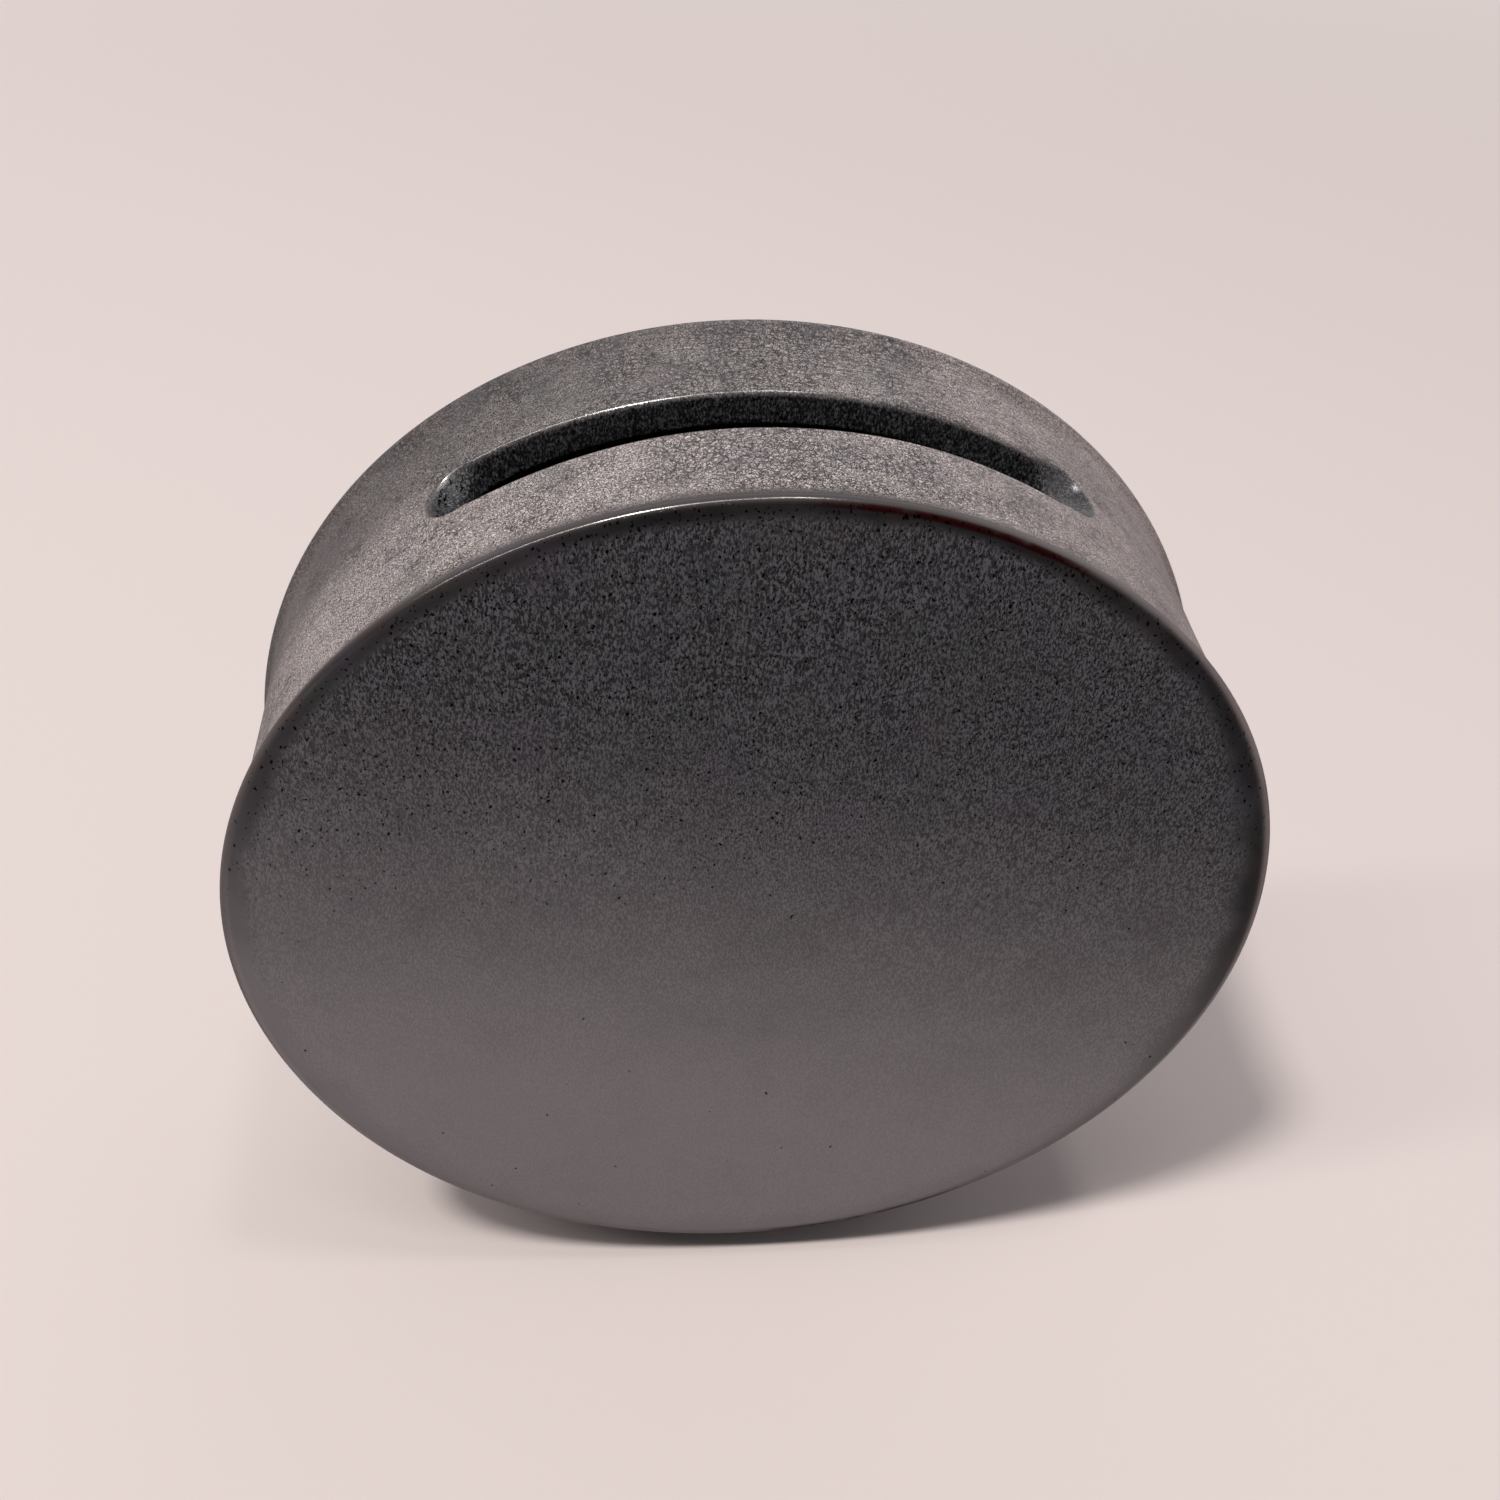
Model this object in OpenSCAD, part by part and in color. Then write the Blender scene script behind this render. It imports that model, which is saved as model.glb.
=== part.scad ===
// Disc vase: a flat round drum of fired clay that stands on edge, with a long
// slot mouth in the top of its side band and a low oval foot ring under it.
// Millimetres. +Z is up, -Y is the front face. The origin is the middle of the
// surface that the vase stands on.
//
// It is put together as a slab-built pot is: two round face slabs, a side band
// in two strips with scarfed ends, a coil worked into each inside corner, and a
// strip bent into a foot ring. The pieces meet face to face.

/* [Disc] */
// Diameter over the rims of the two round faces
disc_d = 210; // [190:1:240]
// Thickness from the front face to the back face
disc_t = 65; // [56:1:76]
// Thickness of each face slab
slab_t = 7; // [6:0.5:9]
// Rounding of each rim where the face turns over
rim_round = 2; // [1:0.5:4]

/* [Side band] */
// How far the band lies inside the rims
band_inset = 1.4; // [0.8:0.1:2.4]
// Wall thickness of the band
band_wall = 7.5; // [6:0.5:9]
// Slope of the scarf joints between the upper and the lower strip, in degrees
scarf_slope = 45; // [30:5:55]

/* [Mouth] */
// Width of the slot between its walls
mouth_w = 12.5; // [8:0.5:14]
// Length of the mouth over its hollowed ends, measured straight across
mouth_len = 127; // [100:1:134]
// Softening of the slot's edge
lip_round = 1.5; // [0.5:0.5:3]
// How far the slot lies behind the middle of the band
mouth_shift = 0.5; // [-2:0.5:2]
// Width of the finger hollow at each end of the mouth
hollow_w = 14.5; // [12:0.5:18]
// Depth of the finger hollows into the wall
hollow_deep = 4.5; // [2:0.5:5]
// How far each hollow runs on past the slot
hollow_run = 7; // [4:0.5:9]

/* [Foot] */
// Height of the rims above the table
foot_lift = 8; // [5:0.5:12]
// Length of the foot ring along the disc
foot_len = 100; // [80:1:110]
// Width of the foot ring across the disc
foot_w = 42; // [36:1:46]
// Thickness of the foot ring's wall
foot_wall = 7; // [5:0.5:9]
// Softening of the foot ring's lower edges
foot_round = 1.5; // [0.5:0.5:2.5]

/* [Corner coils] */
// Radius of the hollow curve that each coil is smoothed to
coil_round = 6; // [4:0.5:8]

/* [Hidden] */

$fn = 180;
arc_steps = 6;                            // straight steps in a small edge round
spare = 2;                                // how far a cutter runs past a face
lip_break = 75;                           // turn of the lip round before it runs straight out

rim_r = disc_d / 2;
band_r = rim_r - band_inset;              // outside of the band
bore_r = band_r - band_wall;              // inside of the band
centre_z = foot_lift + rim_r;             // height of the disc's axis
seam_y = disc_t / 2 - slab_t;             // where a slab meets the band

// The hollow flare under a rim runs from the seam to the rim's round, tangent
// to the band and to the round.
flare_len = slab_t - rim_round;
flare_round = (pow(flare_len, 2) + pow(band_inset, 2)) / (2 * band_inset) - rim_round;
flare_turn = atan2(flare_len, flare_round + rim_round - band_inset);

// The slot's round ends and the hollows have their axes at these angles from the top.
end_angle = asin((mouth_len / 2 - hollow_run - mouth_w / 2) / band_r);
hollow_angle = asin((mouth_len - hollow_w) / 2 / band_r);

clay = "#4b484a";                         // dark satin glaze, outside
bare_clay = "#3a3537";                    // unglazed clay, inside and under the foot

// Points on an arc about [cx, cy] from angle a0 to a1.
function arc(cx, cy, r, a0, a1) =
    [for (i = [0 : arc_steps]) let (a = a0 + (a1 - a0) * i / arc_steps)
        [cx + r * cos(a), cy + r * sin(a)]];

// Stands a revolved shape on edge: its own axis turns to face the front.
module on_edge() {
    translate([0, 0, centre_z]) rotate([90, 0, 0]) children();
}

// Half section of a face slab, as [radius, distance from the disc's middle].
module slab_section() {
    face_y = disc_t / 2;
    polygon(concat(
        [[0, seam_y]],
        arc(band_r + flare_round, seam_y, flare_round, 180, 180 - flare_turn),
        arc(rim_r - rim_round, face_y - rim_round, rim_round, -flare_turn, 90),
        [[0, face_y]]
    ));
}

module slab() {
    rotate_extrude() slab_section();
}

module front_slab() {
    color(clay) on_edge() slab();
}

module back_slab() {
    color(clay) on_edge() mirror([0, 0, 1]) slab();
}

// The whole side band before its two strips are told apart.
module band() {
    on_edge() difference() {
        cylinder(r = band_r, h = 2 * seam_y, center = true);
        cylinder(r = bore_r, h = 2 * seam_y + spare, center = true);
    }
}

// Everything below the scarf joints, which cross the wall at the disc's widest.
module below_scarfs() {
    wall_mid = (band_r + bore_r) / 2;
    inner_x = bore_r - spare;
    outer_x = rim_r + spare;
    inner_z = (inner_x - wall_mid) * tan(scarf_slope);
    outer_z = (outer_x - wall_mid) * tan(scarf_slope);
    on_edge() linear_extrude(2 * disc_t, center = true)
        polygon([[-outer_x, outer_z], [-inner_x, inner_z], [inner_x, inner_z], [outer_x, outer_z],
                 [outer_x, -outer_x], [-outer_x, -outer_x]]);
}

// One side of the slot's section, as [radius from the disc's axis, half width]:
// straight through the wall, then opening round the lip and out past the band.
function lip_side() =
    let (half = mouth_w / 2,
         turn = arc(band_r - lip_round, half + lip_round, lip_round, -90, lip_break - 90),
         last = turn[arc_steps],
         out_r = band_r + spare)
    concat([[bore_r - spare, half]], turn,
           [[out_r, last[1] + (out_r - last[0]) * tan(lip_break)]]);

// The slot: its section swept along the band, closed by a round end each way.
module mouth_cut() {
    side = lip_side();
    inner_r = side[0][0];
    outer_r = side[len(side) - 1][0];
    on_edge() translate([0, 0, -mouth_shift]) {
        rotate([0, 0, 90 - end_angle]) rotate_extrude(angle = 2 * end_angle)
            polygon(concat(side, [for (i = [len(side) - 1 : -1 : 0]) [side[i][0], -side[i][1]]]));
        for (turn = [90 - end_angle, 90 + end_angle])
            rotate([0, 0, turn]) rotate([0, 90, 0]) rotate_extrude()
                polygon(concat([[0, inner_r]], [for (p = side) [p[1], p[0]]], [[0, outer_r]]));
    }
}

// A round hollow that a fingertip leaves at each end of the slot: half section
// as [distance from the hollow's axis, radius from the disc's axis].
module hollow_section() {
    half = hollow_w / 2;
    ball = (pow(half, 2) + pow(hollow_deep, 2)) / (2 * hollow_deep);
    ball_r = band_r - hollow_deep + ball;
    polygon(concat(
        arc(0, ball_r, ball, -90, -asin((ball_r - band_r) / ball)),
        [[half, band_r + spare], [0, band_r + spare]]
    ));
}

module end_hollows() {
    on_edge() translate([0, 0, -mouth_shift])
        for (turn = [90 - hollow_angle, 90 + hollow_angle])
            rotate([0, 0, turn]) rotate([0, 90, 0]) rotate_extrude()
                hollow_section();
}

module mouth_band() {
    color(clay) difference() {
        band();
        below_scarfs();
        mouth_cut();
        end_hollows();
    }
}

module base_band() {
    color(clay) intersection() {
        band();
        below_scarfs();
    }
}

// A coil of clay smoothed into the corner between a slab and the band.
module corner_coil() {
    rotate_extrude() polygon(concat(
        [[bore_r, seam_y]],
        arc(bore_r - coil_round, seam_y - coil_round, coil_round, 0, 90)
    ));
}

module front_corner_coil() {
    color(bare_clay) on_edge() corner_coil();
}

module back_corner_coil() {
    color(bare_clay) on_edge() mirror([0, 0, 1]) corner_coil();
}

// Section of the foot ring's wall, standing on its softened lower edges.
module foot_section() {
    top_z = centre_z - bore_r;
    out_x = foot_w / 2;
    in_x = out_x - foot_wall;
    polygon(concat(
        arc(in_x + foot_round, foot_round, foot_round, 180, 270),
        arc(out_x - foot_round, foot_round, foot_round, 270, 360),
        [[out_x, top_z + foot_w], [in_x, top_z + foot_w]]
    ));
}

// The ring: two straight walls and two round ends, cut to sit on the band.
module foot_ring() {
    straight = foot_len - foot_w;
    color(clay) difference() {
        for (turn = [0, 180]) rotate([0, 0, turn]) {
            rotate([90, 0, 90]) linear_extrude(straight, center = true) foot_section();
            translate([straight / 2, 0, 0]) rotate([0, 0, -90]) rotate_extrude(angle = 180)
                foot_section();
        }
        on_edge() cylinder(r = band_r, h = 2 * disc_t, center = true);
    }
}

front_slab();
back_slab();
mouth_band();
base_band();
front_corner_coil();
back_corner_coil();
foot_ring();
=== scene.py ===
# A disc vase of slab-built stoneware in a black satin glaze: a flat round drum that stands on edge
# on an oval foot ring, with a long slot mouth in the top of its side band. Lengths are in metres.
import math

import bmesh
import bpy
from mathutils import Matrix, Vector, noise


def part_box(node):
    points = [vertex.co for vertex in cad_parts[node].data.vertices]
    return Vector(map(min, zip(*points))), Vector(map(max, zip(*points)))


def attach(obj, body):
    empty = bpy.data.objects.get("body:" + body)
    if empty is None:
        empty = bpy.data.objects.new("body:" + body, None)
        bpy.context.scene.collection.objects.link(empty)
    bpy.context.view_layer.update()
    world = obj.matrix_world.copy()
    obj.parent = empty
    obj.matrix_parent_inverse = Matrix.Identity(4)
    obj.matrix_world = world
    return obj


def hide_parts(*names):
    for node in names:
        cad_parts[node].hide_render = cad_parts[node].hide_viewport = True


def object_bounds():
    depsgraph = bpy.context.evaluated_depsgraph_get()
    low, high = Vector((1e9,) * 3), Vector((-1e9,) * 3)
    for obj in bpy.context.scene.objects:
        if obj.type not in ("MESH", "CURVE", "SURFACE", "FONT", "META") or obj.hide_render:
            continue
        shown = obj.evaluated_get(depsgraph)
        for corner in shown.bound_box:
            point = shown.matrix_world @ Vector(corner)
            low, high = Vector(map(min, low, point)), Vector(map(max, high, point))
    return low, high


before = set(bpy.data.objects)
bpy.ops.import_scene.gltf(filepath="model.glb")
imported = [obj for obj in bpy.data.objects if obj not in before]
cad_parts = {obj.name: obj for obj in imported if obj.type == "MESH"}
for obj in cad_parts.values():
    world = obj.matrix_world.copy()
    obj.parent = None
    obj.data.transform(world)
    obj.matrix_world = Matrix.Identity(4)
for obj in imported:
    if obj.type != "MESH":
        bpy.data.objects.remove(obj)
cadLow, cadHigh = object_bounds()
mm = 0.001
print("frame loaded:", sorted(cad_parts))

# sizes that the pieces share, all read from the fixed frame
slabLow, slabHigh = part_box("front_slab")
bandHigh, coilHigh, footHigh = (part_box(node)[1] for node in
                                ("mouth_band", "front_corner_coil", "foot_ring"))
vase = {
    "rim": min(slabHigh.x, -slabLow.x),                 # radius over the rims
    "axis": (slabHigh.z + slabLow.z) / 2,               # height of the disc's axis
    "face": cadHigh.y,                                  # mid-plane to either face
    "seam": bandHigh.y,                                 # mid-plane to where slab and band meet
    "band": bandHigh.z - (slabHigh.z + slabLow.z) / 2,  # outside of the side band
    "bore": coilHigh.x,                                 # inside of the side band
}
vase["wall"] = vase["band"] - vase["bore"]


def linear(code):  # sRGB hex to the linear colour that a shader takes
    parts = [int(code[i:i + 2], 16) / 255 for i in (1, 3, 5)]
    return tuple(c / 12.92 if c <= 0.04045 else ((c + 0.055) / 1.055) ** 2.4 for c in parts) + (1.0,)


def inLinear(look):  # a material's values with its colours turned to linear
    return {key: linear(value) if isinstance(value, str) else value for key, value in look.items()}


# kinds and settings that many nodes share
mathNode, vectorNode, rangeNode, mixNode, noiseNode = (
    "ShaderNode" + kind for kind in ("Math", "VectorMath", "MapRange", "Mix", "TexNoise"))
eased, inColour = {"interpolation_type": "SMOOTHSTEP"}, {"data_type": "RGBA"}
times, timesPlus = {"operation": "MULTIPLY"}, {"operation": "MULTIPLY_ADD"}


def add(tree, kind, inputs=None, **settings):  # a node with its settings and links
    node = tree.nodes.new(kind)
    for key, value in settings.items():
        setattr(node, key, value)
    for key, value in (inputs or {}).items():
        if isinstance(value, bpy.types.Node):
            value = value.outputs[0]
        if isinstance(value, bpy.types.NodeSocket):
            tree.links.new(value, node.inputs[key])
        else:
            node.inputs[key].default_value = value
    return node


def newMaterial(name):
    material = bpy.data.materials.new(name)
    material.use_nodes = True
    material.node_tree.nodes.clear()
    return material, material.node_tree


def show(thing):
    bpy.context.scene.collection.objects.link(thing)


meshing = {"weld": 0.004 * mm, "sharp": math.radians(38)}


def meshPiece(name, mesh, material=None):  # welds, turns faces outwards, smooths
    work = bmesh.new()
    work.from_mesh(mesh)
    bmesh.ops.remove_doubles(work, verts=work.verts, dist=meshing["weld"])
    bmesh.ops.recalc_face_normals(work, faces=work.faces)
    gaps = sum(1 for edge in work.edges if not edge.is_manifold)
    work.to_mesh(mesh)
    work.free()
    mesh.shade_smooth()
    mesh.set_sharp_from_angle(angle=meshing["sharp"])
    piece = bpy.data.objects.new(name, mesh)
    show(piece)
    if material:
        mesh.materials.clear()
        mesh.materials.append(material)
    print(f"{name}: {len(mesh.polygons)} faces, {gaps} open edges")
    return piece


def sheetsToMesh(name, sheets):  # each sheet is rows of points, joined into quads
    points, quads = [], []
    for sheet in sheets:
        wide, start = len(sheet[0]), len(points)
        for row in sheet:
            points.extend(row)
        for r in range(len(sheet) - 1):
            for c in range(wide - 1):
                at = start + r * wide + c
                quads.append((at, at + 1, at + wide + 1, at + wide))
    mesh = bpy.data.meshes.new(name)
    mesh.from_pydata(points, [], quads)
    return mesh


# Satin black glaze on stoneware: an iron and manganese glaze, poured and fired to cone 6. It gives a
# charcoal ground with half-millimetre crystals that ran a little downwards on the upright faces, a
# paler crackled skin of millimetre flakes where it lay thick on the level band, a smooth dark break
# with a little rust where it thinned over the edges, pinholes near the top, and a soft sheen. The band's
# paleness is partly painted light from above, and the faces are painted lighter low down as painted light.
glazeLook = {
    "ground": "#0d0d12", "crystal": "#6b6d74",            # face, high up
    "litLowGround": "#848082", "litLowCrystal": "#aea8ab",      # face, low down: painted light and painted reflection make it lighter
    "crack": "#1b1719", "flake": "#e2d6d3",               # side band; the pale flakes are partly painted light from above
    "thinLitLeft": "#383537", "thinShadedRight": "#0b090a",        # face, where the glaze thinned by the rim; lighter on the left as painted light, darker on the right as painted shade
    "thinGlazeAndShade": "#443c3b", "rust": "#260a08",             # side band, where the glaze thinned, and painted shade on the flare by the front rim
    # painted shade: the slot is near black below its lips, with pale grit
    "slotShade": "#060608", "throatFlake": "#86868d", "pit": "#020202",
    "hollow": "#151417", "hollowFlake": "#6c696b",        # finger hollows at the slot's ends
    "brownCloud": "#4f4748", "greenCloud": "#3f4b48", "mauveCloud": "#48435a",
    "clay": "#4a423e",                                    # bare standing edge of the foot
    "rightLitTint": "#c4aeac",                                  # side band, right end: painted light, paler and pinker
    "strokeWide": 0.21, "strokeTall": 0.5, "flakeSize": 1.45, "grainSize": 0.52,    # sizes in mm
    "pitSize": 0.95, "pitFlat": 0.74, "cloudSize": 13.0, "streakWide": 4.5,
    "crackWide": 0.14, "grainCrack": 0.20, "crackLeast": 0.12,    # the dark lines, as shares
    "strokeSharp": (0.45, 0.58), "lowCalm": 0.75, "cloudy": 0.28, "cloudyLow": 0.06, "rightLitMost": 0.38,
    "crystalHigh": 0.05, "flakeHigh": 0.07, "grainHigh": 0.025, "pitDeep": 0.2,     # relief in mm
    # mm to the right of the middle: where the rust starts and where it fades, and where a hollow starts
    "rustFrom": (-4.0, 16.0), "rustTo": (66.0, 42.0), "hollowFrom": (55.5, 60.5),
    # mm above the disc's axis: from clear crystals to the painted light low down, and from few pinholes to
    # many
    "litHeight": (68.0, -64.0), "pitHeight": (0.0, 92.0),
    # mm below the band's surface: where the painted shade in the slot starts, and where a hollow starts
    # and ends
    "slotShadeDepth": (0.5, 1.8), "hollowDepth": (0.5, 0.95), "hollowFloor": (5.4, 4.2),
    "rimZone": (3.5, 8.1), "rimRagged": 0.8,              # width of the soft dark zone by a rim, in mm
    # how far the surface has turned, from 1 on the band to 0 on a face
    "turns": {"face": (0.72, 0.36), "thinLip": (0.996, 0.92), "crestLip": (0.97, 0.87),
              "crestRim": (0.28, 0.55), "rustLow": (0.12, 0.34), "rustHigh": (0.86, 0.62)},
    "satin": (0.46, 0.60), "edgeShine": 0.18, "leftHollow": 0.8, "rightHollow": 0.2,    # roughness
    "clayDull": 0.85, "ior": 1.52, "sheen": 0.42,         # sheen: specular level away from edges
}


def satinGlaze():
    look = inLinear(glazeLook)
    material, tree = newMaterial("satinBlackGlaze")
    spot = add(tree, "ShaderNodeTexCoord")
    # millimetres, measured from the disc's axis
    place = add(tree, "ShaderNodeMapping", {"Vector": spot.outputs["Object"], "Scale": [1 / mm] * 3,
                                            "Location": (0, 0, -vase["axis"] / mm)})
    x, y, z = add(tree, "ShaderNodeSeparateXYZ", {0: place}).outputs
    level = add(tree, "ShaderNodeCombineXYZ", {0: x, 2: z})
    radial = add(tree, vectorNode, {0: level}, operation="LENGTH").outputs["Value"]
    across = add(tree, mathNode, {0: y}, operation="ABSOLUTE")
    normal = add(tree, "ShaderNodeNewGeometry").outputs["Normal"]
    outward = add(tree, vectorNode, {0: level}, operation="NORMALIZE")
    # 1 on the band, 0 on the faces and down the slot, between the two on every rounded edge
    facing = add(tree, vectorNode, {0: outward, 1: normal}, operation="DOT_PRODUCT")
    facing = facing.outputs["Value"]
    bandMm, rimMm, seamMm, faceMm, axisMm = (
        vase[key] / mm for key in ("band", "rim", "seam", "face", "axis"))
    faceTurn, thinLip, crestLip, crestDown, rustLow, rustHigh = (
        add(tree, rangeNode, {"Value": facing, "From Min": start, "From Max": end}, **eased)
        for start, end in look["turns"].values())

    # where the painted shade lies deep in the slot and inside the vase, and the finger hollows at the
    # slot's ends
    depth = add(tree, mathNode, {0: bandMm, 1: radial}, operation="SUBTRACT")
    deep, hollow, shallow = (
        add(tree, rangeNode, {"Value": depth, "From Min": start, "From Max": end}, **eased)
        for start, end in (look["slotShadeDepth"], look["hollowDepth"], look["hollowFloor"]))
    between = add(tree, mathNode, {0: across, 1: seamMm + 1}, operation="LESS_THAN")
    inside = add(tree, mathNode, {0: deep, 1: between}, **times)
    # the painted shade reaches further into the left hollow than into the right one
    aside = add(tree, mathNode, {0: x}, operation="ABSOLUTE")
    beyond = add(tree, mathNode, {0: x, 1: 0.05, 2: aside}, **timesPlus)
    start, end = look["hollowFrom"]
    beyond = add(tree, rangeNode, {"Value": beyond, "From Min": start, "From Max": end}, **eased)
    for share in (beyond, shallow, between):
        hollow = add(tree, mathNode, {0: hollow, 1: share}, **times)
    inside = add(tree, mathNode, {0: inside, 1: hollow}, operation="MAXIMUM")
    outside = add(tree, mathNode, {0: 1.0, 1: between}, operation="SUBTRACT")
    onFace = add(tree, mathNode, {0: faceTurn, 1: outside}, **times)
    # the glaze thins where the band flares up to a rim or turns into the slot; by the front rim that dark
    # zone is also painted shade where the flare turns from the light
    thinRim = add(tree, rangeNode, {"Value": across, "From Min": seamMm - 0.8,
                  "From Max": seamMm + 4.8}, **eased)
    thinLip = add(tree, mathNode, {0: thinLip, 1: between}, **times)
    thinFrom = add(tree, mathNode, {0: thinLip, 1: thinRim}, operation="MAXIMUM")

    # soft rim zone on the faces: narrow at the top, wide at both sides
    turned = add(tree, mathNode, {0: x, 1: -math.sin(slab["lean"])}, **times)
    turned = add(tree, mathNode, {0: z, 1: math.cos(slab["lean"]), 2: turned}, **timesPlus)
    turned = add(tree, mathNode, {0: turned, 1: radial}, operation="DIVIDE")
    (crisp, soft), (narrow, wide) = slab["crispTo"], look["rimZone"]
    rimWidth = add(tree, rangeNode, {"Value": turned, "From Min": crisp, "From Max": soft,
                   "To Min": narrow, "To Max": wide}, **eased)
    fromRim = add(tree, mathNode, {0: rimMm, 1: radial}, operation="SUBTRACT")
    rimShare = add(tree, mathNode, {0: fromRim, 1: rimWidth}, operation="DIVIDE")
    ragged = add(tree, noiseNode, {"Vector": place, "Scale": 0.08, "Detail": 2.0})
    rimShare = add(tree, mathNode, {0: ragged, 1: look["rimRagged"], 2: rimShare}, **timesPlus)
    rollOver = add(tree, rangeNode, {"Value": rimShare, "From Min": 1.75, "From Max": 0.9}, **eased)

    # crystals on the faces, drawn out downwards as the glaze ran; clearer high up
    ran = add(tree, "ShaderNodeMapping", {"Vector": place, "Scale": (1 / look["strokeWide"],
              1 / look["strokeWide"], 1 / look["strokeTall"])})
    strokes = add(tree, noiseNode, {"Vector": ran, "Scale": 0.62, "Detail": 2.0,
                  "Roughness": 0.6, "Distortion": 0.5})
    faint, full = look["strokeSharp"]
    strokes = add(tree, rangeNode, {"Value": strokes, "From Min": faint, "From Max": full})
    # painted light and painted reflection: the faces get lighter towards the bottom, and their dark rim
    # zone fades there
    pooled = add(tree, mathNode, {0: x, 1: 0.22, 2: z}, **timesPlus)
    upper, lower = look["litHeight"]
    litLowShare = add(tree, rangeNode, {"Value": pooled, "From Min": upper, "From Max": lower}, **eased)
    calm = add(tree, mathNode, {0: litLowShare, 1: look["lowCalm"]}, **times)
    calm = add(tree, mathNode, {0: calm, 1: rollOver}, operation="MAXIMUM")
    faceTone = add(tree, mixNode, {0: calm, 2: strokes, 3: 0.40})
    darkTone = add(tree, mixNode, {0: litLowShare, 6: look["ground"], 7: look["litLowGround"]}, **inColour)
    paleTone = add(tree, mixNode, {0: litLowShare, 6: look["crystal"], 7: look["litLowCrystal"]}, **inColour)
    faceColour = add(tree, mixNode, {0: faceTone, 6: darkTone.outputs[2], 7: paleTone.outputs[2]},
                     **inColour)
    faceThin = add(tree, rangeNode, {"Value": litLowShare, "From Min": 0.2, "From Max": 0.8,
                   "To Min": 0.92, "To Max": 0.12})
    faceThin = add(tree, mathNode, {0: rollOver, 1: faceThin}, **times)
    # painted light and painted shade: the dark rim zone on the faces is lighter on the left and darker on
    # the right
    rightward = add(tree, rangeNode, {"Value": x, "From Min": -85.0, "From Max": -10.0}, **eased)
    thin = add(tree, mixNode, {0: rightward, 6: look["thinLitLeft"], 7: look["thinShadedRight"]}, **inColour)
    faceColour = add(tree, mixNode, {0: faceThin, 6: faceColour.outputs[2], 7: thin.outputs[2]},
                     **inColour)

    # crackled flakes on the band: pale islands of uneven shape, with dark lines between
    wander = add(tree, noiseNode, {"Vector": place, "Scale": 0.75, "Detail": 2.0})
    bent = add(tree, vectorNode, {0: wander.outputs["Color"], 1: (1.9, 1.9, 1.9), 2: place}, **timesPlus)
    patchy = add(tree, noiseNode, {"Vector": place, "Scale": 0.09, "Detail": 3.0})
    middle = add(tree, rangeNode, {"Value": aside, "From Min": 4.0, "From Max": 42.0,
                 "To Min": 0.14, "To Max": -0.04})
    patchy = add(tree, mathNode, {0: patchy, 1: middle}, operation="ADD")
    patchy = add(tree, rangeNode, {"Value": patchy, "From Min": 0.42, "From Max": 0.60}, **eased)
    lines = []
    for kind, wide, least in (("flakeSize", "crackWide", look["crackLeast"]),
                              ("grainSize", "grainCrack", 1.0)):
        gaps = add(tree, "ShaderNodeTexVoronoi", {"Vector": bent, "Scale": 1 / look[kind]},
                   feature="DISTANCE_TO_EDGE")
        line = add(tree, rangeNode, {"Value": gaps, "From Min": look[wide], "From Max": 0.01})
        share = add(tree, rangeNode, {"Value": patchy, "To Min": least})
        lines.append(add(tree, mathNode, {0: line, 1: share}, **times))
    lines = add(tree, mathNode, {0: lines[0], 1: lines[1]}, operation="MAXIMUM")
    islands = add(tree, "ShaderNodeTexVoronoi", {"Vector": bent, "Scale": 1 / look["grainSize"]})
    island = add(tree, "ShaderNodeSeparateColor", {0: islands.outputs["Color"]})
    fine = add(tree, noiseNode, {"Vector": place, "Scale": 2.2, "Detail": 2.0})
    # streaks where the band was smoothed lengthwise, clearest on the right and at the back
    turn = add(tree, mathNode, {0: x, 1: z}, operation="ARCTAN2")
    turn = add(tree, mathNode, {0: turn, 1: bandMm / look["streakWide"]}, **times)
    lane = add(tree, mathNode, {0: y, 1: 2.1}, **times)
    lane = add(tree, "ShaderNodeCombineXYZ", {0: turn, 1: lane})
    streaks = add(tree, noiseNode, {"Vector": lane, "Scale": 1.0, "Detail": 3.0}, noise_dimensions="2D")
    streaks = add(tree, rangeNode, {"Value": streaks, "From Min": 0.34, "From Max": 0.66,
                  "To Min": -0.5, "To Max": 0.5})
    streaky = add(tree, mathNode, {0: x, 1: 0.5, 2: y}, **timesPlus)
    streaky = add(tree, rangeNode, {"Value": streaky, "From Min": -18.0, "From Max": 34.0,
                  "To Min": 0.15, "To Max": 0.75})
    flakeTone = add(tree, mathNode, {0: island.outputs[0], 1: 0.5, 2: 0.02}, **timesPlus)
    for part, weight in ((fine, 1.3), (streaks, streaky)):
        flakeTone = add(tree, mathNode, {0: part, 1: weight, 2: flakeTone}, **timesPlus)
    unlined = add(tree, mathNode, {0: 1.0, 1: lines}, operation="SUBTRACT")
    flakeTone = add(tree, mathNode, {0: flakeTone, 1: unlined}, **times, use_clamp=True)
    # towards the back the band is darker on the left, and a little lighter on the right as painted light
    backTone = add(tree, rangeNode, {"Value": x, "From Min": -50.0, "From Max": 60.0,
                  "To Min": 0.38, "To Max": 1.05})
    behind = add(tree, rangeNode, {"Value": y, "From Min": -8.0, "From Max": 16.0,
                 "To Min": 1.0, "To Max": backTone}, **eased)
    flakeTone = add(tree, mathNode, {0: flakeTone, 1: behind}, **times)
    # painted shade: the thin dark zone is strongest at the front and weaker at the back
    thinAndShadeTone = add(tree, rangeNode, {"Value": y, "From Min": -12.0, "From Max": 12.0,
                   "To Min": 1.0, "To Max": 0.35})
    thinAndShadeTone = add(tree, mathNode, {0: thinFrom, 1: thinAndShadeTone}, **times)
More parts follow.
